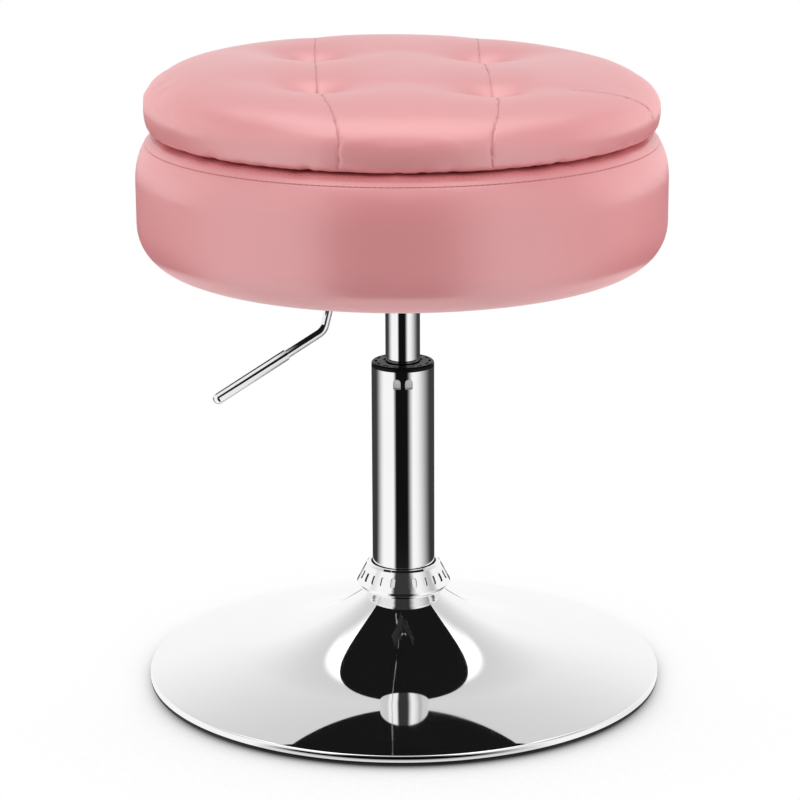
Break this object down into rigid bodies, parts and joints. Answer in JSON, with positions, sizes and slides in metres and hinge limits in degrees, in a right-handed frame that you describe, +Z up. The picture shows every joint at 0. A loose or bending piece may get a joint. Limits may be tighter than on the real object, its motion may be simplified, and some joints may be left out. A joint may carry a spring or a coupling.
{
  "type": "swivel storage stool",
  "caption": "Round swivel stool with a tufted lift-off lid over a padded storage drum, on a gas lift with a lever and a chromed trumpet base.",
  "frame": {"origin": "on the floor, at the axis of the column", "axes": "+Z up along the column; -Y towards the viewer, +X to the right"},
  "size_m": [0.384, 0.384, 0.465],
  "materials": {
    "chrome": "bright mirror plating",
    "black_rubber": "matte",
    "black_steel": "semi-matte black",
    "cast_iron": "raw casting",
    "bare_steel": "zinc bright",
    "black_nylon": "satin black",
    "light_alloy": "machined",
    "plywood": "bare plywood",
    "foam": "cut foam",
    "pink_leather": "fine grain, semi-gloss",
    "lining_cloth": "felted cloth",
    "pink_thread": "sewing thread"
  },
  "bodies": {
    "base": {"floor_ring": "black_rubber", "base_shell": "chrome", "base_bottom_plate": "black_steel", "base_ballast": "cast_iron", "column_socket": "bare_steel", "collar_ring": "chrome", "column_tube": "chrome", "guide_bush": "black_nylon", "tube_end_plate": "bare_steel", "lower_race": "bare_steel"},
    "bearing_cage": {"bearing_balls": "bare_steel", "ball_cage": "black_nylon"},
    "spindle": {"upper_race": "bare_steel", "piston_rod": "bare_steel", "rod_clip": "bare_steel", "rod_bumper": "black_rubber", "piston": "light_alloy", "piston_ring": "black_rubber"},
    "seat": {"gas_cylinder": "chrome", "valve_body": "light_alloy", "cylinder_guide": "black_nylon", "cylinder_seal": "black_rubber", "seat_plate": "black_steel", "lever_channel": "black_steel", "plate_socket": "black_steel", "lever_pivot_pin": "bare_steel", "lever_spacers": "black_nylon", "plate_bolts": "bare_steel", "plate_washers": "bare_steel", "tee_nuts": "bare_steel", "drum_floor": "plywood", "drum_wall": "plywood", "drum_padding": "foam", "drum_side_cover": "pink_leather", "drum_top_band": "pink_leather", "drum_lining": "lining_cloth", "floor_liner": "lining_cloth", "dust_cover": "lining_cloth"},
    "lever": {"lever_rod": "chrome", "lever_sleeve": "chrome"},
    "release": {"release_pin": "bare_steel"},
    "lid": {"lid_board": "plywood", "lid_locator": "plywood", "lid_underlining": "lining_cloth", "lid_foam": "foam", "lid_cover": "pink_leather", "tuft_ties": "pink_thread"}
  },
  "joints": [
    {"name": "seat_swivel", "type": "hinge", "parent": "base", "child": "spindle", "pos_m": [0, 0, 0.0248], "axis": [0, 0, 1], "continuous": true},
    {"name": "cage_turn", "type": "hinge", "parent": "base", "child": "bearing_cage", "pos_m": [0, 0, 0.0204], "axis": [0, 0, 1], "continuous": true},
    {"name": "seat_lift", "type": "slide", "parent": "spindle", "child": "seat", "axis": [0, 0, 1], "range_m": [0, 0.12]},
    {"name": "lever_lift", "type": "hinge", "parent": "seat", "child": "lever", "pos_m": [-0.01966, -0.01377, 0.311], "axis": [-0.5736, 0.8192, 0], "range_deg": [0, 8]},
    {"name": "pin_press", "type": "slide", "parent": "seat", "child": "release", "axis": [0, 0, 1], "range_m": [-0.0036, 0]},
    {"name": "lid_lift", "type": "slide", "parent": "seat", "child": "lid", "axis": [0, 0, 1], "range_m": [0, 0.2]}
  ],
  "couplings": [
    {"joint": "pin_press", "follows": "lever_lift", "m_per_rad": -0.0245}
  ]
}
